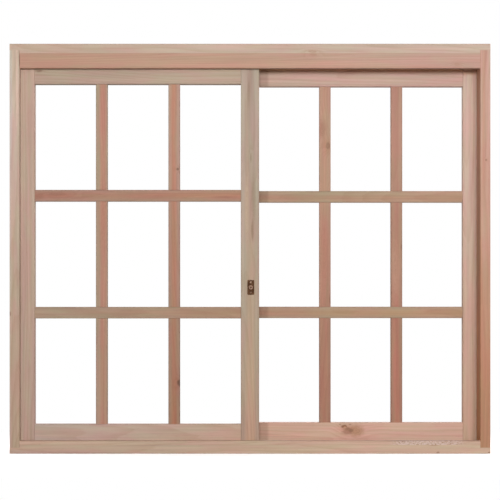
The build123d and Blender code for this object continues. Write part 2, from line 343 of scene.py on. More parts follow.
class Board:
    """A member whose wood is drawn on it layer by layer, with its grain upright."""

    # Shades that multiply the wood's colour.
    LATE_WOOD = (0.80, 0.71, 0.62, 1.0)
    END_WOOD = (0.80, 0.74, 0.68, 1.0)
    ARRIS = (0.87, 0.84, 0.81, 1.0)
    # Painted shadow of the front meeting stile on the rear sash.
    PAINTED_SHADOW = (0.76, 0.74, 0.72, 1.0)
    PORE = (0.62, 0.52, 0.44, 1.0)
    BLUSH = (1.03, 0.945, 0.955, 1.0)
    STRAW = (0.975, 1.04, 0.965, 1.0)
    KNOT_RIPPLE = (0.78, 0.72, 0.66, 1.0)
    KNOT_HALO = (0.90, 0.78, 0.68, 1.0)

    # Noises in the wood, scaled across, through and along the grain.
    FIBRES = Figure((760.0, 760.0, 9.0), 3.0, 0.6)
    PORES = Figure((1350.0, 1350.0, 52.0), 1.0, step=(0.64, 0.74))
    CLOUDS = Figure((16.0, 16.0, 4.5), step=(0.3, 0.7, -0.025, 0.025))
    THREADS = Figure((210.0, 210.0, 3.4), 2.0, 0.55, step=(0.28, 0.72, -0.05, 0.05))
    WANDER = Figure((14.0, 14.0, 2.2))
    BENDS = Figure((30.0, 30.0, 3.0))
    STREAKS = Figure((46.0, 46.0, 1.7), 3.0, 0.55, 0.25, (0.44, 0.66))
    PATCHES = Figure((58.0, 58.0, 9.0), 2.0, 0.5, 0.3, (0.32, 0.68))
    GRIME = Figure((90.0, 90.0, 14.0), step=(0.3, 0.7, 0.35, 0.85))
    WAVES = Figure((7.0, 7.0, 1.1))
    RIPPLES = Figure((60.0, 60.0, 7.0))
    SEASONS = Figure((1.0, 1.0, 95.0), 1.0)
    KNOT_STIR = Figure((130.0, 130.0, 130.0))
    KNOT_RAGS = Figure((70.0, 70.0, 24.0), step=(0.3, 0.6, 0.35, 1.0))
    SHREDS = Figure((430.0, 430.0, 210.0), 3.0, 0.7, 0.8)

    # Smooth steps between two values, some with the answers below and above them.
    FIBRE_LIGHT = (0.25, 0.75, 0.955, 1.045)
    FIBRE_ROUGHNESS = (0.2, 0.8, 0.62, 0.8)
    TONE_STEP = (0.05, 0.95)
    ARRIS_STEP = (0.0003, 0.0016, 1.0, 0.0)
    SWIRL_STEP = (0.4, 4.2)
    LATE_RISE = (0.30, 0.92)
    LATE_FALL = (0.93, 1.0, 1.0, 0.0)
    HALO_STEP = (0.8, 4.0, 1.0, 0.0)
    CORE_STEP = (0.15, 0.75)
    CIRCLE_STEP = (-0.4, 0.9, 0.0, 0.6)
    TORN_STEP = (0.43, 0.60, 0.15, 0.85)
    PIT_STEP = (0.48, 0.37)
    ROOM_FACE_STEP = (-0.8, -0.3, 1.0, 0.0)
    END_STEP = (0.75, 0.97)

    # Shares of the layers in the colour, the roughness and the height.
    WANDER_SHARE = 0.5
    LATE_SHARE = 0.34
    PORE_SHARE = 0.26
    END_SHARE = 0.6
    LATE_GLOSS = 0.07
    GLOSS = 0.28
    FIBRE_HEIGHT = 0.5
    LATE_HEIGHT = 0.45
    PORE_HEIGHT = -0.45
    TORN_HEIGHT = 2.2
    RELIEF = 0.00022
    RELIEF_STRENGTH = 0.5

    # Where the board lay in its tree, in metres, and how the rings and each knot are bent.
    FARTHEST = 30.0
    HEART_SWAY = 0.008
    WAVE_REACH = (0.034, 0.034, 0.0)
    RIPPLE_REACH = (0.0026, 0.0026, 0.0)
    LEAN = (0.006, 0.022)
    PITH_SIDE = (-0.034, 0.034)
    PITH_BEHIND = (0.018, 0.075)
    RING_STEP = 0.0034
    SEASON_YEARS = 1.6
    KNOT_SWAY = 0.8
    KNOT_CIRCLES = 17.0

    def __init__(self, finish: WoodFinish, name: str, low: Vector, high: Vector) -> None:
        """Lays the member out and draws its tree.

        Args:
            finish: its wood.
            name: its name.
            low: its lowest corner.
            high: its highest corner.
        """
        self.finish = finish
        self.draw = random.Random(finish.seed)
        self.sketch = sketch = NodeSketch.of_material(name + "_wood")
        middle = (low + high) / 2
        wide, deep, tall = high.x - low.x, high.y - low.y, high.z - low.z
        if finish.grain is Grain.THROUGH:
            turn, shift = (math.pi / 2, 0.0, 0.0), (-middle.x, middle.z, -middle.y)
            self.axis, self.length, self.width, self.back = 1, deep, wide, tall
        elif wide > tall:
            turn, shift = (0.0, -math.pi / 2, 0.0), (middle.z, -middle.y, -middle.x)
            self.axis, self.length, self.width, self.back = 0, wide, tall, deep
        else:
            turn, shift = ZERO, (-middle.x, -middle.y, -middle.z)
            self.axis, self.length, self.width, self.back = 2, tall, wide, deep
        away = tuple(self.draw.uniform(-self.FARTHEST, self.FARTHEST) for _ in range(3))
        self.face = sketch.object_spot()
        self.spot = sketch.object_spot(turn, shift)
        self.drift = sketch.vector("ADD", self.spot, away)
        self.discs = [self._disc(knot) for knot in finish.knots_and_marks]
        self.late = self._late_wood()
        self.fibre = sketch.noise(self.drift, self.FIBRES)
        self.pore = sketch.layer(self.drift, self.PORES)
        self.colour = self._tone()
        self.height = sketch.math("MULTIPLY_ADD", self.fibre, self.FIBRE_HEIGHT,
                                  sketch.times(self.late, self.LATE_HEIGHT))
        self.height = sketch.math("MULTIPLY_ADD", self.pore, self.PORE_HEIGHT, self.height)

    def material(self) -> Material:
        """Puts the layers on the member's tone.

        Returns:
            The wood, in the member's own place.
        """
        sketch, finish = self.sketch, self.finish
        self._stain(sketch.times(self.late, self.LATE_SHARE), self.LATE_WOOD)
        self._stain(1.0, self._light())
        self._soil_arrises()
        self._stain(sketch.times(self.pore, self.PORE_SHARE), self.PORE)
        for knot, disc in zip(finish.knots_and_marks, self.discs):
            self._set_knot(knot, disc)
        if finish.scar is not None:
            self._tear()
        if finish.stile_shadow is not None:
            self._paint_stile_shadow()
        self._cut_ends()
        rough = sketch.math("SUBTRACT", sketch.ease(self.fibre, *self.FIBRE_ROUGHNESS),
                            sketch.times(self.late, self.LATE_GLOSS))
        relief = sketch.bump(self.height, self.RELIEF, self.RELIEF_STRENGTH)
        return sketch.surface(self.colour, rough, relief, self.GLOSS)

    def _stain(self, share: Value, shade: object) -> None:
        """Multiplies the colour by a shade, as far as the share says."""
        self.colour = self.sketch.mix(share, self.colour, shade, "MULTIPLY")

    def _tone(self) -> Socket:
        """Draws the member's slow change of tone from its start to its end, which on the upright
        members darkens the foot: partly the wood's own tone and partly painted shade.

        Returns:
            The colour's socket.
        """
        sketch, finish, heartwood_and_shade = self.sketch, self.finish, self.finish.heartwood_and_shade
        across, _, along = sketch.split(self.spot)
        wander = sketch.math("MULTIPLY_ADD", sketch.noise(self.drift, self.WANDER),
                             self.WANDER_SHARE, (1.0 - self.WANDER_SHARE) / 2)
        share = sketch.ease(sketch.math("MULTIPLY_ADD", along, 1.0 / self.length, wander),
                            *self.TONE_STEP)
        colour = sketch.mix(share, finish.start.linear(), finish.end.linear())
        if heartwood_and_shade is not None:
            place = sketch.math(
                "MULTIPLY_ADD", sketch.noise(self.drift, self.BENDS), self.HEART_SWAY,
                sketch.math("SUBTRACT", across, heartwood_and_shade.middle + self.HEART_SWAY / 2))
            inside = sketch.edge(sketch.math("ABSOLUTE", place), heartwood_and_shade.half, heartwood_and_shade.softness,
                                 1.0, 0.0)
            colour = sketch.mix(inside, colour, sketch.mix(share, heartwood_and_shade.start.linear(),
                                                           heartwood_and_shade.end.linear()))
        streak = sketch.layer(self.drift, self.STREAKS, 0.0, finish.streaks)
        colour = sketch.mix(streak, colour, finish.flush.linear())
        patch = sketch.layer(self.drift, self.PATCHES)
        return sketch.mix(1.0, colour, sketch.mix(patch, self.STRAW, self.BLUSH), "MULTIPLY")

    def _light(self) -> Socket:
        """Draws the light and dark of the fibres, the wider clouds and the threads of grain.

        Returns:
            The grey's socket.
        """
        light = self.sketch.ease(self.fibre, *self.FIBRE_LIGHT)
        for figure in (self.CLOUDS, self.THREADS):
            light = self.sketch.math("ADD", light, self.sketch.layer(self.drift, figure))
        return self.sketch.grey(light)

    def _soil_arrises(self) -> None:
        """Soils the long edges, where members meet and hands have held them."""
        sketch = self.sketch
        across, through, _ = sketch.split(self.spot)
        inwards = [sketch.math("SUBTRACT", half, sketch.math("ABSOLUTE", part))
                   for half, part in ((self.width / 2, across), (self.back / 2, through))]
        near = sketch.ease(sketch.math("MAXIMUM", *inwards), *self.ARRIS_STEP)
        self._stain(sketch.times(near, sketch.layer(self.drift, self.GRIME)), self.ARRIS)

    def _late_wood(self) -> Socket:
        """Draws the year rings about a pith that lies behind the member.

        Returns:
            The share of late wood.
        """
        sketch = self.sketch
        wave = sketch.sway(self.drift, self.WAVES, self.WAVE_REACH)
        ripple = sketch.sway(self.drift, self.RIPPLES, self.RIPPLE_REACH)
        bent = sketch.vector("ADD", sketch.vector("ADD", self.spot, wave), ripple)
        across, through, along = sketch.split(bent)
        lean = self.draw.choice((-1.0, 1.0)) * self.draw.uniform(*self.LEAN)
        side = self.draw.uniform(*self.PITH_SIDE)
        behind = self.back / 2 + self.draw.uniform(*self.PITH_BEHIND)
        from_pith = sketch.join(
            sketch.math("ADD", across, side),
            sketch.math("MULTIPLY_ADD", along, lean, sketch.math("SUBTRACT", through, behind)),
            0.0)
        radius = sketch.vector("LENGTH", from_pith)
        for knot, disc in zip(self.finish.knots_and_marks, self.discs):
            radius = sketch.math("ADD", radius,
                                 sketch.ease(disc, *self.SWIRL_STEP, knot.swirl, 0.0))
        season = sketch.noise(sketch.join(0.0, 0.0, radius), self.SEASONS)
        years = sketch.math("MULTIPLY_ADD", season, self.SEASON_YEARS,
                            sketch.math("DIVIDE", radius, self.RING_STEP))
        saw = sketch.math("FRACT", years)
        return sketch.times(sketch.ease(saw, *self.LATE_RISE), sketch.ease(saw, *self.LATE_FALL))

    def _disc(self, knot: KnotOrMark) -> Socket:
        """Measures how far a place is from a knot.

        Args:
            knot: the knot.

        Returns:
            The distance in the knot's own radii.
        """
        sketch = self.sketch
        reach = (knot.half_width * self.KNOT_SWAY, 0.0, knot.half_height * self.KNOT_SWAY)
        place = sketch.vector("ADD", self.face, sketch.sway(self.face, self.KNOT_STIR, reach))
        gap = sketch.vector("SUBTRACT", place, (knot.x, 0.0, knot.z))
        return sketch.vector("LENGTH", sketch.vector(
            "MULTIPLY", gap, (1.0 / knot.half_width, 0.0, 1.0 / knot.half_height)))

    def _set_knot(self, knot: KnotOrMark, disc: Socket) -> None:
        """Darkens the wood in and round a knot.

        Args:
            knot: the knot.
            disc: the distance from it in its own radii.
        """
        sketch = self.sketch
        halo = sketch.times(sketch.ease(disc, *self.HALO_STEP),
                            sketch.layer(self.drift, self.KNOT_RAGS))
        self._stain(sketch.times(halo, knot.halo), self.KNOT_HALO)
        inside = sketch.times(sketch.edge(disc, 1.0, knot.softness, knot.darkness, 0.0),
                              sketch.ease(disc, *self.CORE_STEP, 1.0 - knot.core, 1.0))
        circles = sketch.math("SINE", sketch.times(disc, self.KNOT_CIRCLES))
        wood = sketch.mix(sketch.ease(circles, *self.CIRCLE_STEP), knot.tone.linear(),
                          self.KNOT_RIPPLE, "MULTIPLY")
        self.colour = sketch.mix(inside, self.colour, wood)

    def _tear(self) -> None:
        """Roughens and pales the stretch of torn fibres."""
        sketch, scar = self.sketch, self.finish.scar
        x, _, _ = sketch.split(self.face)
        stretch = sketch.times(sketch.edge(x, scar.left, scar.fringe),
                               sketch.edge(x, scar.right, scar.fringe, 1.0, 0.0))
        shreds = sketch.noise(self.drift, self.SHREDS)
        torn = sketch.times(stretch, sketch.ease(shreds, *self.TORN_STEP))
        self.colour = sketch.mix(torn, self.colour, scar.tone.linear())
        self._stain(sketch.times(stretch, sketch.ease(shreds, *self.PIT_STEP)), self.PORE)
        self.height = sketch.math("MULTIPLY_ADD", torn, self.TORN_HEIGHT, self.height)

    def _paint_stile_shadow(self) -> None:
        """Paints the front meeting stile's shadow on the room face of a rear member, up to the
        place it reaches.
        """
        sketch, stile_shadow = self.sketch, self.finish.stile_shadow
        near = sketch.edge(sketch.split(self.face)[0], stile_shadow.right, stile_shadow.fringe, 1.0, 0.0)
        on_room_face = sketch.ease(sketch.facing()[1], *self.ROOM_FACE_STEP)
        self._stain(sketch.times(near, on_room_face), self.PAINTED_SHADOW)

    def _cut_ends(self) -> None:
        """Darkens the wood where its fibres are cut across."""
        sketch = self.sketch
        cut = sketch.ease(sketch.math("ABSOLUTE", sketch.facing()[self.axis]), *self.END_STEP)
        self._stain(sketch.times(cut, self.END_SHARE), self.END_WOOD)


@dataclass(frozen=True)
class MetalFinish:
    """A small fitting's metal."""

    body: Tone
    worn: Tone
    roughness: float
    weathering: Weathering = Weathering.RUBBED
    bare: float = 1.0
    wear: float = 0.3
    gloss: float = 0.5

    MARKS = {Weathering.DRAWN: Figure((40.0, 2600.0, 2600.0), 3.0, 0.6),
             Weathering.RUBBED: Figure((620.0, 620.0, 620.0), 3.0, 0.6)}
    PATINA = Figure((190.0, 190.0, 190.0), 3.0, 0.6, 0.5, (0.42, 0.68))
    MARK_LIGHT = (0.3, 0.7, 0.9, 1.08)
    MARK_STEP = (0.25, 0.75)
    SMOOTHER = 0.07
    ROUGHER = 0.1
    RELIEF = 0.00006
    RELIEF_STRENGTH = 0.45

    def material(self, name: str) -> Material:
        """Draws the metal.

        Args:
            name: the material's name.

        Returns:
            The metal.
        """
        sketch = NodeSketch.of_material(name)
        spot = sketch.object_spot()
        marks = sketch.noise(spot, self.MARKS[self.weathering])
        worn = sketch.times(sketch.layer(spot, self.PATINA), self.wear)
        colour = sketch.mix(worn, self.body.linear(), self.worn.linear())
        light = sketch.grey(sketch.ease(marks, *self.MARK_LIGHT))
        rough = sketch.ease(marks, *self.MARK_STEP, self.roughness - self.SMOOTHER,
                            self.roughness + self.ROUGHER)
        relief = sketch.bump(marks, self.RELIEF, self.RELIEF_STRENGTH)
        return sketch.surface(sketch.mix(1.0, colour, light, "MULTIPLY"), rough, relief,
                              self.gloss, self.bare)


def dress(node: str, material: Material) -> None:
    """Puts a material on a solid's own slots.

    Args:
        node: the solid's name.
        material: its finish.
    """
    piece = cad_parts[node]
    if not piece.material_slots:
        piece.data.materials.append(material)
    for slot in piece.material_slots:
        slot.material = material
    log.info("dressed %s", node)


def put(name: str, data: bpy.types.ID) -> bpy.types.Object:
    """Puts a mesh, lamp or camera into the scene.

    Args:
        name: the object's name.
        data: what it shows.

    Returns:
        The object.
    """
    made = bpy.data.objects.new(name, data)
    bpy.context.scene.collection.objects.link(made)
    return made


def mesh_data(mesh: BMesh, name: str, material: Material) -> bpy.types.Mesh:
    """Makes Blender's own mesh of a finished bmesh.

    Args:
        mesh: the shape, which is freed.
        name: the mesh's name.
        material: its finish.

    Returns:
        The mesh.
    """
    data = bpy.data.meshes.new(name)
    mesh.to_mesh(data)
    mesh.free()
    data.materials.append(material)
    return data


def seat(mesh: BMesh, name: str, material: Material, body: str,
         crease: Optional[float] = None) -> bpy.types.Object:
    """Makes a piece of a finished bmesh.

    Args:
        mesh: the shape, in its place.
        name: the piece's name.
        material: its finish.
        body: the body it rides on.
        crease: the angle in degrees past which its edges stay sharp, if any do.

    Returns:
        The piece.
    """
    bmesh.ops.remove_doubles(mesh, verts=mesh.verts, dist=MERGE_GAP)
    bmesh.ops.recalc_face_normals(mesh, faces=mesh.faces)
    data = mesh_data(mesh, name, material)
    data.shade_smooth()
    if crease is not None:
        data.set_sharp_from_angle(angle=math.radians(crease))
    piece = put(name, data)
    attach(piece, body)
    log.info("built %s on %s", name, body)
    return piece


def scaled(shares: Profile, radius: float, height: float) -> list[tuple[float, float]]:
    """Returns a profile in metres from one in shares of its radius and height."""
    return [(across * radius, up * height) for across, up in shares]


def turned(profile: Profile, facets: int) -> BMesh:
    """Turns a profile about the Y axis, with heights standing out towards the room.

    Args:
        profile: pairs of radius and height in metres, from the middle of the face outwards.
        facets: how many facets go round.

    Returns:
        The turned shape about the origin.
    """
    mesh = bmesh.new()
    points = [mesh.verts.new((radius, -height, 0.0)) for radius, height in profile]
    edges = [mesh.edges.new(pair) for pair in zip(points, points[1:])]
    bmesh.ops.spin(mesh, geom=points + edges, cent=ZERO, axis=(0.0, 1.0, 0.0),
                   angle=math.tau, steps=facets, use_merge=True)
    bmesh.ops.remove_doubles(mesh, verts=mesh.verts, dist=MERGE_GAP)
    return mesh


def set_down(mesh: BMesh, place: Sequence[float], turn: Matrix) -> None:
    """Turns a shape about the origin and moves it to its place."""
    bmesh.ops.rotate(mesh, verts=mesh.verts, cent=ZERO, matrix=turn)
    bmesh.ops.translate(mesh, verts=mesh.verts, vec=place)


def frame_woods() -> dict[str, WoodFinish]:
    """Chooses the wood of each member of the frame.

    Returns:
        The woods, by the members' names.
    """
    pink = Tone(206, 178, 160)
    faint = Tone(172, 132, 110)
    seam = Tone(132, 100, 84)
    rose = Tone(236, 204, 190)
    return {
        "head_board": WoodFinish(
            Tone(191, 166, 149), Tone(195, 170, 156), Tone(199, 177, 162), seed=11,
            knots_and_marks=(KnotOrMark(0.156, 1.0035, 0.01, 0.003, 0.55, 0.3, 0.004, faint, 0.3),)),
        "head_front_guide": WoodFinish(
            Tone(182, 145, 125), Tone(189, 154, 140), Tone(193, 150, 131), seed=12,
            knots_and_marks=(KnotOrMark.mark(-0.5746, 0.983, 0.001, 0.017, 0.6, seam, 0.5),
                   KnotOrMark.mark(-0.533, 0.9992, 0.034, 0.0009, 0.45, seam),
                   KnotOrMark(0.158, 0.996, 0.008, 0.0025, 0.45, 0.3, 0.004, faint, 0.3),
                   KnotOrMark(0.516, 0.972, 0.006, 0.003, 0.4, 0.3, 0.004, faint, 0.3))),
        "head_parting_strip": WoodFinish(Tone(190, 156, 136), Tone(192, 158, 138), pink, seed=13),
        "head_rear_guide": WoodFinish(Tone(192, 160, 140), Tone(196, 164, 146), pink, seed=14),
        "left_jamb": WoodFinish(
            Tone(176, 150, 131), Tone(203, 180, 167), Tone(193, 162, 141), seed=15,
            # The stripe near the outer edge is a pale grey band, paler towards the top.
            heartwood_and_shade=HeartwoodAndShadeStripe(-0.0105, 0.003, 0.0025, Tone(179, 163, 152), Tone(203, 191, 184)),
            knots_and_marks=(KnotOrMark(-0.5985, 0.349, 0.0022, 0.005, 0.7, 0.0, 0.001),
                   KnotOrMark.mark(-0.5816, 0.915, 0.0024, 0.09, 0.6, rose, 0.7),
                   KnotOrMark.mark(-0.5756, 0.985, 0.001, 0.019, 0.7, seam, 0.5))),
        "right_jamb": WoodFinish(
            Tone(176, 129, 101), Tone(198, 161, 148), Tone(189, 136, 112), seed=16,
            # The stripe on the jamb's inner face is painted warm shade, the colour of the shade in
            # the recess next to the rear sash.
            heartwood_and_shade=HeartwoodAndShadeStripe(-0.0135, 0.002, 0.001, Tone(190, 134, 97), Tone(210, 160, 138)),
            knots_and_marks=(KnotOrMark(0.589, 0.733, 0.002, 0.0024, 0.8, 0.2, 0.002),)),
        "sill_board": WoodFinish(
            Tone(184, 157, 143), Tone(203, 172, 151), Tone(193, 166, 143), seed=17,
            knots_and_marks=(KnotOrMark.mark(0.459, 0.0205, 0.011, 0.001, 0.6, faint),
                   KnotOrMark(0.469, 0.003, 0.0035, 0.0018, 0.7, 0.0, 0.0),
                   KnotOrMark(0.5965, 0.003, 0.003, 0.0018, 0.7, 0.0, 0.0))),
        "sill_front_lip": WoodFinish(
            Tone(191, 163, 145), Tone(197, 168, 147), Tone(200, 172, 150), seed=18,
            knots_and_marks=(KnotOrMark.mark(0.386, 0.0305, 0.015, 0.0009, 0.6, faint),),
            scar=Scar(0.36, 0.525, Tone(214, 192, 184))),
    }


@dataclass
class WindowFrame:
    """The ploughed frame: jambs, head, sill and the strips that guide the sashes."""

    body: str = "frame"
    nail_head: float = 0.0032
    nail_proud: float = 0.0003
    nail_shank: float = 0.0014
    nail_sink: float = 0.0040
    nail_rows: tuple[float, ...] = (-0.040, 0.0, 0.040)
    nail_facets: int = 24
    nail: MetalFinish = MetalFinish(Tone(118, 114, 110), Tone(92, 76, 64), 0.46, bare=0.7, wear=0.6)
    track: MetalFinish = MetalFinish(Tone(196, 197, 198), Tone(150, 150, 152), 0.34,
                                     Weathering.DRAWN)
    finishes: dict[str, WoodFinish] = field(default_factory=frame_woods)

    # A nail's profile in shares of its head or shank and of what stands proud.
    NAIL_CAP = ((0.0, 0.55), (0.45, 0.6), (0.78, 1.0), (0.95, 0.75), (1.0, -1.0))
    NAIL_NECK = ((1.1, -4.0),)

    def build(self) -> None:
        """Dresses the frame's wood and its rails, and drives the nails of the head."""
        for node, finish in self.finishes.items():
            dress(node, finish.material(node, *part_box(node)))
        metal = self.track.material("track_rail_metal")
        for node in ("front_track_rail", "rear_track_rail"):
            dress(node, metal)
        steel = self.nail.material("head_nail_steel")
        for side in ("left", "right"):
            low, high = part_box(side + "_jamb")
            self._drive_nails("head_nails_" + side, (low.x + high.x) / 2, steel)

    def _drive_nails(self, name: str, middle: float, steel: Material) -> None:
        """Drives a row of nails down through the head into the top of a jamb.

        Args:
            name: the row's name.
            middle: the middle of the jamb, in metres along X.
            steel: the nails' finish.
        """
        profile = scaled(self.NAIL_CAP, self.nail_head, self.nail_proud)
        profile += scaled(self.NAIL_NECK, self.nail_shank, self.nail_proud)
        profile += [(self.nail_shank, -self.nail_sink), (0.0, -self.nail_sink)]
        mesh = turned(profile, self.nail_facets)
        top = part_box("head_board")[1].z
        set_down(mesh, (middle, self.nail_rows[0], top), Matrix.Rotation(-math.pi / 2, 3, "X"))
        first = mesh.verts[:] + mesh.edges[:] + mesh.faces[:]
        for row in self.nail_rows[1:]:
            copy = bmesh.ops.duplicate(mesh, geom=first)["geom"]
            bmesh.ops.translate(mesh, vec=(0.0, row - self.nail_rows[0], 0.0),
                                verts=[v for v in copy if isinstance(v, bmesh.types.BMVert)])
        seat(mesh, name, steel, self.body, CREASE)


@dataclass
class Sash:
    """One sash: its stiles, rails and glazing bars, and the pins that lock its tenons."""

    prefix: str
    finishes: dict[str, WoodFinish]
    pin_wood: WoodFinish
    pin_radius: float = 0.0040
    pin_proud: float = 0.0003
    pin_sink: float = 0.0060
    pin_from_light: float = 0.020
    pin_facets: int = 28

    # A pin's pared end in shares of its radius and of what stands proud.
    PIN_END = ((0.0, 1.0), (0.5, 0.97), (0.84, 0.8), (0.96, 0.35), (1.0, -0.6))

    def build(self) -> None:
        """Dresses each member of the sash and drives its four pins."""
        for part, finish in self.finishes.items():
            node = f"{self.prefix}_{part}"
            dress(node, finish.material(node, *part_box(node)))
        self._drive_pins()

    def _drive_pins(self) -> None:
        """Drives a wooden pin through each tenon, its end pared almost flush with the stile."""
        profile = scaled(self.PIN_END, self.pin_radius, self.pin_proud)
        profile += [(self.pin_radius, -self.pin_sink), (0.0, -self.pin_sink)]
        heights = {"lower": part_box(self.prefix + "_bottom_rail")[1].z - self.pin_from_light,
                   "upper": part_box(self.prefix + "_top_rail")[0].z + self.pin_from_light}
        for stile in ("outer", "meeting"):
            low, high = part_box(f"{self.prefix}_{stile}_stile")
            wood = self.pin_wood.material(f"{self.prefix}_{stile}_pin", low, high)
            for level, height in heights.items():
                pin = turned(profile, self.pin_facets)
                place = ((low.x + high.x) / 2, high.y, height)
                set_down(pin, place, Matrix.Rotation(math.pi, 3, "Z"))
                seat(pin, f"{self.prefix}_pin_{stile}_{level}", wood, self.prefix,
                     CREASE)


def front_sash() -> Sash:
    """Chooses the woods of the sash on the room side.

    Returns:
        The front sash.
    """
    tan = Tone(172, 143, 123)
    stain = Tone(128, 100, 82)
    olive = Tone(138, 116, 92)
    straw = Tone(190, 166, 140)
    rust = Tone(148, 104, 86)
    bark = Tone(106, 74, 58)
    brick = Tone(183, 117, 101)
    pin = Tone(186, 154, 130)
    return Sash("front_sash", {
        "outer_stile": WoodFinish(
            Tone(179, 154, 141), Tone(187, 161, 146), Tone(190, 161, 143), seed=31),
        "meeting_stile": WoodFinish(
            Tone(168, 146, 129), Tone(180, 163, 149), Tone(183, 156, 134), seed=32, streaks=0.35,
            heartwood_and_shade=HeartwoodAndShadeStripe(0.001, 0.011, 0.007, Tone(184, 151, 128), Tone(167, 149, 137)),
            knots_and_marks=(KnotOrMark.mark(0.006, 0.559, 0.003, 0.024, 0.7, olive, 0.6, 0.002),
                   KnotOrMark.mark(0.009, 0.635, 0.005, 0.048, 0.4, olive, 0.7, 0.002),
                   KnotOrMark.mark(-0.008, 0.615, 0.0055, 0.075, 0.6, straw, 0.7, 0.001),
                   KnotOrMark.mark(0.002, 0.74, 0.0018, 0.01, 0.5, olive, 0.6, 0.002),
                   KnotOrMark.mark(-0.003, 0.908, 0.003, 0.034, 0.4, olive, 0.7, 0.001))),
        "top_rail": WoodFinish(
            Tone(178, 156, 140), Tone(181, 158, 143), Tone(185, 163, 146), seed=33,
            # The dark spot at the rail's left end, in the corner by its joint with the stile, is
            # painted shade.
            knots_and_marks=(KnotOrMark(-0.529, 0.958, 0.0075, 0.003, 0.7, 0.2, 0.002, stain, 0.5, 0.0),)),
        "bottom_rail": WoodFinish(
            Tone(181, 159, 150), Tone(191, 161, 143), Tone(190, 162, 146), seed=34),
        "upright_bar_1": WoodFinish(
            Tone(166, 138, 121), Tone(169, 147, 127), tan, seed=35, streaks=0.2,
            heartwood_and_shade=HeartwoodAndShadeStripe(0.004, 0.008, 0.005, Tone(174, 131, 112), Tone(183, 134, 116)),
            knots_and_marks=(KnotOrMark.mark(-0.369, 0.6, 0.009, 0.075, 0.4, brick, 0.7, 0.001),)),
        "upright_bar_2": WoodFinish(
            Tone(152, 119, 103), Tone(177, 147, 133), tan, seed=36, streaks=0.15,
            heartwood_and_shade=HeartwoodAndShadeStripe(0.0, 0.007, 0.005, Tone(163, 113, 89), Tone(183, 134, 112)),
            knots_and_marks=(KnotOrMark(-0.1775, 0.1755, 0.0052, 0.007, 0.95, 0.5, 0.006, bark, 0.5, 0.0),
                   KnotOrMark(-0.1815, 0.712, 0.0034, 0.0034, 0.85, 0.3, 0.003, stain, 0.4, 0.0))),
        "cross_bar_1": WoodFinish(
            Tone(164, 142, 123), Tone(164, 135, 114), tan, seed=37, streaks=0.2,
            heartwood_and_shade=HeartwoodAndShadeStripe(0.001, 0.006, 0.006, Tone(169, 146, 124), Tone(166, 131, 107))),
        "cross_bar_2": WoodFinish(
            Tone(164, 130, 115), Tone(165, 131, 112), tan, seed=38, streaks=0.2,
            heartwood_and_shade=HeartwoodAndShadeStripe(0.0, 0.007, 0.006, Tone(168, 125, 107), Tone(174, 126, 104)),
            knots_and_marks=(KnotOrMark(-0.49, 0.649, 0.02, 0.0036, 0.6, 0.5, 0.009, rust, 0.7, 0.2),
                   KnotOrMark.mark(-0.529, 0.643, 0.011, 0.008, 0.5, rust, 0.7, 0.002),
                   KnotOrMark.mark(-0.065, 0.642, 0.028, 0.0022, 0.5, rust, 0.7, 0.003))),
    }, WoodFinish(pin, pin, tan, seed=39, grain=Grain.THROUGH))


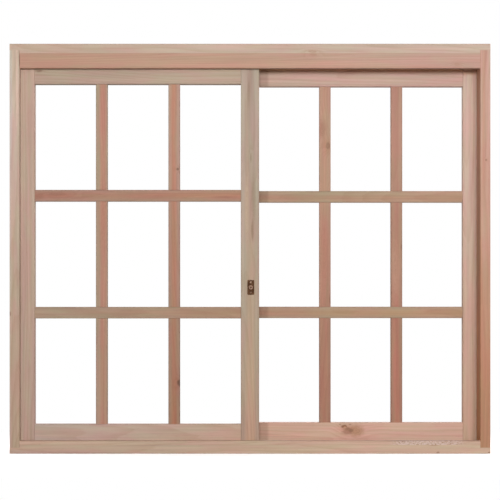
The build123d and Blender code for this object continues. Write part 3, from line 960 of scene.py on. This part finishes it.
def rear_sash() -> Sash:
    """Chooses the woods of the sash on the outer track.

    Returns:
        The rear sash.
    """
    tan = Tone(174, 140, 120)
    stain = Tone(140, 104, 82)
    warm = Tone(166, 120, 100)
    brown = Tone(178, 136, 106)
    bark = Tone(136, 92, 64)
    pith = Tone(196, 152, 124)
    umber = Tone(166, 126, 98)
    head_shade_warm = Tone(212, 160, 126)
    brick = Tone(178, 114, 97)
    pale = Tone(197, 153, 132)
    pin = Tone(190, 158, 134)
    # Painted shadow that the front meeting stile casts on the rear rails and cross bars near it.
    meeting_stile_shadow = MeetingStileShadow(0.046)
    return Sash("rear_sash", {
        "outer_stile": WoodFinish(
            Tone(192, 158, 139), Tone(204, 176, 165), Tone(200, 168, 150), seed=41,
            # The patch at the stile's top is painted warm shade, in the shadow under the head
            # guide.
            knots_and_marks=(KnotOrMark.mark(0.553, 0.966, 0.04, 0.011, 0.55, head_shade_warm),)),
        "meeting_stile": WoodFinish(
            Tone(188, 154, 134), Tone(192, 160, 142), Tone(198, 166, 146), seed=42),
        "top_rail": WoodFinish(
            Tone(195, 165, 152), Tone(197, 164, 153), Tone(201, 168, 157), seed=43, stile_shadow=meeting_stile_shadow,
            # The stripe along the rail's upper part is painted warm shade, the colour of the shadow
            # under the head guide.
            heartwood_and_shade=HeartwoodAndShadeStripe(-0.018, 0.009, 0.008, Tone(210, 158, 124), Tone(212, 158, 124))),
        "bottom_rail": WoodFinish(
            Tone(203, 164, 147), Tone(207, 171, 154), Tone(209, 169, 155), seed=44, stile_shadow=meeting_stile_shadow,
            knots_and_marks=(KnotOrMark(0.269, 0.0515, 0.017, 0.014, 0.85, 0.1, 0.003, brown, 0.6, 0.0),
                   KnotOrMark(0.247, 0.048, 0.0125, 0.006, 0.8, 0.3, 0.004, warm, 0.5, 0.0),
                   KnotOrMark.mark(0.2465, 0.056, 0.011, 0.004, 0.65, umber),
                   KnotOrMark.mark(0.248, 0.0562, 0.006, 0.0032, 0.6, stain),
                   KnotOrMark(0.256, 0.052, 0.0056, 0.0042, 0.75, 0.2, 0.002, stain, 0.6, 0.0),
                   KnotOrMark(0.239, 0.062, 0.0072, 0.004, 0.95, 0.2, 0.003, bark, 0.5, 0.0),
                   KnotOrMark.mark(0.2408, 0.0596, 0.0038, 0.0024, 0.8, pith, 0.5),
                   KnotOrMark.mark(0.2285, 0.067, 0.003, 0.0016, 0.55, stain),
                   KnotOrMark.mark(0.254, 0.067, 0.003, 0.0016, 0.6, stain))),
        "upright_bar_1": WoodFinish(
            Tone(160, 123, 104), Tone(176, 139, 121), tan, seed=45, streaks=0.15,
            heartwood_and_shade=HeartwoodAndShadeStripe(-0.001, 0.008, 0.006, Tone(173, 118, 99), Tone(177, 134, 117)),
            knots_and_marks=(KnotOrMark.mark(0.369, 0.455, 0.009, 0.075, 0.45, pale, 0.7, 0.001),
                   KnotOrMark(0.385, 0.516, 0.0022, 0.0075, 0.7, 0.2, 0.002, stain, 0.5, 0.0))),
        "upright_bar_2": WoodFinish(
            Tone(160, 119, 101), Tone(184, 148, 129), tan, seed=46, streaks=0.15,
            heartwood_and_shade=HeartwoodAndShadeStripe(-0.002, 0.008, 0.006, Tone(170, 116, 98), Tone(186, 146, 125)),
            knots_and_marks=(KnotOrMark.mark(0.189, 0.5, 0.01, 0.07, 0.45, brick, 0.7, 0.001),
                   KnotOrMark.mark(0.183, 0.818, 0.011, 0.02, 0.65, warm, 0.6, 0.006),
                   KnotOrMark(0.1985, 0.775, 0.0052, 0.0085, 0.7, 0.5, 0.006, stain, 0.4, 0.2),
                   KnotOrMark(0.2025, 0.384, 0.0018, 0.01, 0.6, 0.1, 0.001, stain, 0.5, 0.0))),
        "cross_bar_1": WoodFinish(
            Tone(166, 138, 119), Tone(171, 144, 122), tan, seed=47, streaks=0.2, stile_shadow=meeting_stile_shadow,
            heartwood_and_shade=HeartwoodAndShadeStripe(0.001, 0.007, 0.006, Tone(169, 133, 108), Tone(177, 141, 113))),
        "cross_bar_2": WoodFinish(
            Tone(168, 146, 123), Tone(178, 147, 126), tan, seed=48, streaks=0.2, stile_shadow=meeting_stile_shadow,
            heartwood_and_shade=HeartwoodAndShadeStripe(0.003, 0.007, 0.006, Tone(171, 136, 114), Tone(175, 141, 117))),
    }, WoodFinish(pin, pin, tan, seed=49, grain=Grain.THROUGH))


@dataclass
class Latch:
    """The latch on the meeting stile: its plate, its turned knob and two slotted screws."""

    body: str = "front_sash"
    knob_facets: int = 32
    knob_smoothing: int = 2
    screw_spacing: float = 0.026
    screw_head: float = 0.0027
    screw_dome: float = 0.0005
    screw_sink: float = 0.0012
    screw_shank: float = 0.0014
    screw_facets: int = 40
    screw_crease: float = 35.0
    slot_width: float = 0.0008
    slot_depth: float = 0.0006
    slot_wall: float = 0.00006
    plate: MetalFinish = MetalFinish(Tone(70, 42, 22), Tone(116, 82, 54), 0.62, bare=0.1, wear=0.6,
                                     gloss=0.12)
    knob: MetalFinish = MetalFinish(Tone(136, 106, 88), Tone(154, 126, 108), 0.56, bare=0.35,
                                    gloss=0.3)
    dish: MetalFinish = MetalFinish(Tone(84, 56, 40), Tone(110, 80, 62), 0.62, bare=0.2, gloss=0.15)
    # The two screws are alike: the upper one's metal is painted lighter, a painted highlight, and
    # the lower one's darker, painted shade.
    screws: dict[str, MetalFinish] = field(default_factory=lambda: {
        "upper": MetalFinish(Tone(144, 116, 95), Tone(160, 132, 110), 0.56, bare=0.35, gloss=0.3),
        "lower": MetalFinish(Tone(108, 80, 62), Tone(128, 98, 80), 0.56, bare=0.35, gloss=0.3),
    })

    # Profiles in shares of the radius and the height, and how far the knob's dish reaches out.
    KNOB_PROFILE = ((0.0, 0.66), (0.20, 0.67), (0.38, 0.74), (0.47, 0.94), (0.55, 1.0),
                    (0.80, 0.98), (0.96, 0.84), (1.0, 0.58), (0.95, 0.34), (0.84, 0.20),
                    (0.84, 0.0), (0.84, -0.12), (0.0, -0.12))
    DOME_PROFILE = ((0.0, 1.0), (0.35, 0.94), (0.65, 0.72), (0.86, 0.38), (1.0, 0.0))
    SHANK_PROFILE = ((1.0, -1.0), (1.0, -1.3), (0.0, -1.3))
    DISH_REACH = 0.42

    # Each screw, its side of the knob and its slot's turn in radians.
    SCREW_SEATS = (("upper", 1.0, 0.35), ("lower", -1.0, 1.1))
    CUT_GAP = 1e-8

    def build(self) -> None:
        """Dresses the plate and builds the knob and the screws."""
        dress("latch_plate", self.plate.material("latch_plate_bronze"))
        low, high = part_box("latch_plate")
        self._build_knob(low.y)
        middle = (low + high) / 2
        for name, way, angle in self.SCREW_SEATS:
            place = Vector((middle.x, low.y, middle.z + way * self.screw_spacing / 2))
            metal = self.screws[name].material(f"latch_screw_{name}_metal")
            self._build_screw("latch_screw_" + name, place, angle, metal)

    def _build_knob(self, plate_face: float) -> None:
        """Builds the turned knob in place of its plain solid.

        Args:
            plate_face: the plate's face, in metres along Y.
        """
        low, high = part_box("latch_knob")
        radius = (high.x - low.x) / 2
        height = plate_face - low.y
        mesh = turned(scaled(self.KNOB_PROFILE, radius, height), self.knob_facets)
        for facet in mesh.faces:
            spot = facet.calc_center_median()
            if spot.y < -height / 2 and math.hypot(spot.x, spot.z) < self.DISH_REACH * radius:
                facet.material_index = 1
        middle = (low + high) / 2
        bmesh.ops.translate(mesh, verts=mesh.verts, vec=(middle.x, plate_face, middle.z))
        piece = seat(mesh, "latch_knob_turned", self.knob.material("latch_knob_metal"),
                     self.body)
        piece.data.materials.append(self.dish.material("latch_knob_dish_metal"))
        smooth = piece.modifiers.new("smooth", "SUBSURF")
        smooth.levels = smooth.render_levels = self.knob_smoothing
        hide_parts("latch_knob")

    def _build_screw(self, name: str, place: Vector, angle: float, metal: Material) -> None:
        """Builds one slotted screw.

        Args:
            name: the piece's name.
            place: the middle of its head on the plate's face.
            angle: the slot's turn in radians.
            metal: its finish.
        """
        profile = scaled(self.DOME_PROFILE, self.screw_head, self.screw_dome)
        profile += scaled(self.SHANK_PROFILE, self.screw_shank, self.screw_sink)
        mesh = turned(profile, self.screw_facets)
        half = self.slot_width / 2
        for cut in (-half - self.slot_wall, -half, half, half + self.slot_wall):
            bmesh.ops.bisect_plane(mesh, geom=mesh.verts[:] + mesh.edges[:] + mesh.faces[:],
                                   dist=self.CUT_GAP, plane_co=(0.0, 0.0, cut),
                                   plane_no=(0.0, 0.0, 1.0))
        floor = [v for v in mesh.verts if abs(v.co.z) <= half + MERGE_GAP and v.co.y < MERGE_GAP]
        bmesh.ops.translate(mesh, verts=floor, vec=(0.0, self.slot_depth, 0.0))
        set_down(mesh, place, Matrix.Rotation(angle, 3, "Y"))
        seat(mesh, name, metal, self.body, self.screw_crease)


@dataclass(frozen=True)
class SoftLamp:
    """A soft lamp that faces the window: its place, its two sides and its power in watts."""

    name: str
    place: tuple[float, float, float]
    sides: tuple[float, float]
    power: float

    def hang(self) -> None:
        """Hangs the lamp, out of the camera's sight."""
        data = bpy.data.lights.new(self.name, "AREA")
        data.shape = "RECTANGLE"
        data.size, data.size_y = self.sides
        data.energy = self.power
        hung = put(self.name, data)
        hung.visible_camera = False
        hung.location = self.place
        low, high = cad_box
        aim = (low + high) / 2 - hung.location
        hung.rotation_euler = aim.to_track_quat("-Z", "Y").to_euler()


@dataclass
class Studio:
    """The pale floor, the soft light and the camera."""

    eye: tuple[float, float, float] = (0.0, -3.20, 0.407)
    focal_pixels: float = 1262.5
    sensor: float = 36.0
    rise_pixels: float = 40.6
    floor_side: float = 30.0
    floor_cells: int = 8
    floor_fade: tuple[float, float] = (0.0, 0.42)
    floor_glow: float = 0.5
    bounce: float = 0.33
    sky: float = 0.285
    lamps: tuple[SoftLamp, ...] = (
        SoftLamp("key_lamp", (0.5, -4.6, 1.3), (2.7, 0.9), 168.0),
        SoftLamp("rear_lamp", (0.6, 4.2, 3.0), (3.0, 3.0), 165.0),
        SoftLamp("left_lamp", (-3.5, 0.4, 1.0), (0.6, 1.6), 46.0),
        SoftLamp("right_lamp", (3.5, 0.4, 1.0), (0.6, 1.6), 46.0),
    )

    SPECKLE = Figure((40.0, 40.0, 40.0), step=(0.3, 0.7, 0.99, 1.0))
    WHITE = (1.0, 1.0, 1.0, 1.0)

    def build(self) -> None:
        """Builds the studio in order."""
        self._floor()
        self._world()
        for lamp in self.lamps:
            lamp.hang()
        self._camera()
        bpy.context.scene.view_settings.view_transform = "Standard"

    def _seen(self, sketch: NodeSketch) -> Socket:
        """Tells rays that show a surface from those that only light it.

        Args:
            sketch: the tree it is drawn in.

        Returns:
            1 for rays that show it straight, mirrored or through glass.
        """
        rays = sketch.node("LightPath").outputs
        shown = sketch.math("MAXIMUM", rays["Is Camera Ray"], rays["Is Glossy Ray"])
        return sketch.math("MAXIMUM", shown, rays["Is Transmission Ray"])

    def _floor(self) -> None:
        """Lays the floor."""
        mesh = bmesh.new()
        bmesh.ops.create_grid(mesh, x_segments=self.floor_cells, y_segments=self.floor_cells,
                              size=self.floor_side / 2)
        floor = put("studio_floor", mesh_data(mesh, "studio_floor", self._paper()))

    def _paper(self) -> Material:
        """Draws pale paper that keeps the shadow near the window and is white further out.

        Returns:
            The floor's paper.
        """
        sketch = NodeSketch.of_material("studio_floor_paper")
        low, high = cad_box
        reach = ((high.x - low.x) / 2, (high.y - low.y) / 2, 1.0)
        spot = sketch.object_spot()
        away = sketch.vector("SUBTRACT", sketch.vector("ABSOLUTE", spot), reach)
        away = sketch.vector("MAXIMUM", away, ZERO)
        gone = sketch.ease(sketch.vector("LENGTH", away), *self.floor_fade)
        seen = self._seen(sketch)
        light = sketch.math("MULTIPLY_ADD", seen, 1.0 - self.bounce, self.bounce)
        shade = sketch.grey(sketch.times(sketch.layer(spot, self.SPECKLE), light))
        paper = sketch.node("BsdfDiffuse", {"Color": shade})
        glow = sketch.node("Emission", {"Strength": sketch.times(seen, self.floor_glow)})
        near = sketch.node("AddShader", {0: paper.outputs[0], 1: glow.outputs[0]})
        blend = sketch.node("MixShader", {0: sketch.times(gone, seen), 1: near.outputs[0],
                                          2: sketch.node("Emission").outputs[0]})
        return sketch.close(blend.outputs[0])

    def _world(self) -> None:
        """Makes a white background that lights the window softly."""
        world = bpy.data.worlds.new("studio_world")
        bpy.context.scene.world = world
        sketch = NodeSketch(world)
        strength = sketch.math("MULTIPLY_ADD", self._seen(sketch), 1.0 - self.sky, self.sky)
        sky = sketch.node("Background", {"Color": self.WHITE, "Strength": strength})
        sketch.node("OutputWorld", {"Surface": sky.outputs[0]})

    def _camera(self) -> None:
        """Sets the camera level, square to the window, with its view raised."""
        data = bpy.data.cameras.new("studio_camera")
        data.sensor_width = self.sensor
        data.lens = self.focal_pixels * self.sensor / IMAGE_SIDE
        data.shift_y = self.rise_pixels / IMAGE_SIDE
        camera = put("studio_camera", data)
        camera.location = self.eye
        camera.rotation_euler = (math.pi / 2, 0.0, 0.0)
        bpy.context.scene.camera = camera


def main() -> None:
    """Builds the window's dress and the studio."""
    logging.basicConfig(level=logging.INFO, format="%(name)s: %(message)s")
    WindowFrame().build()
    front_sash().build()
    rear_sash().build()
    Latch().build()
    Studio().build()


if __name__ == "__main__":
    main()
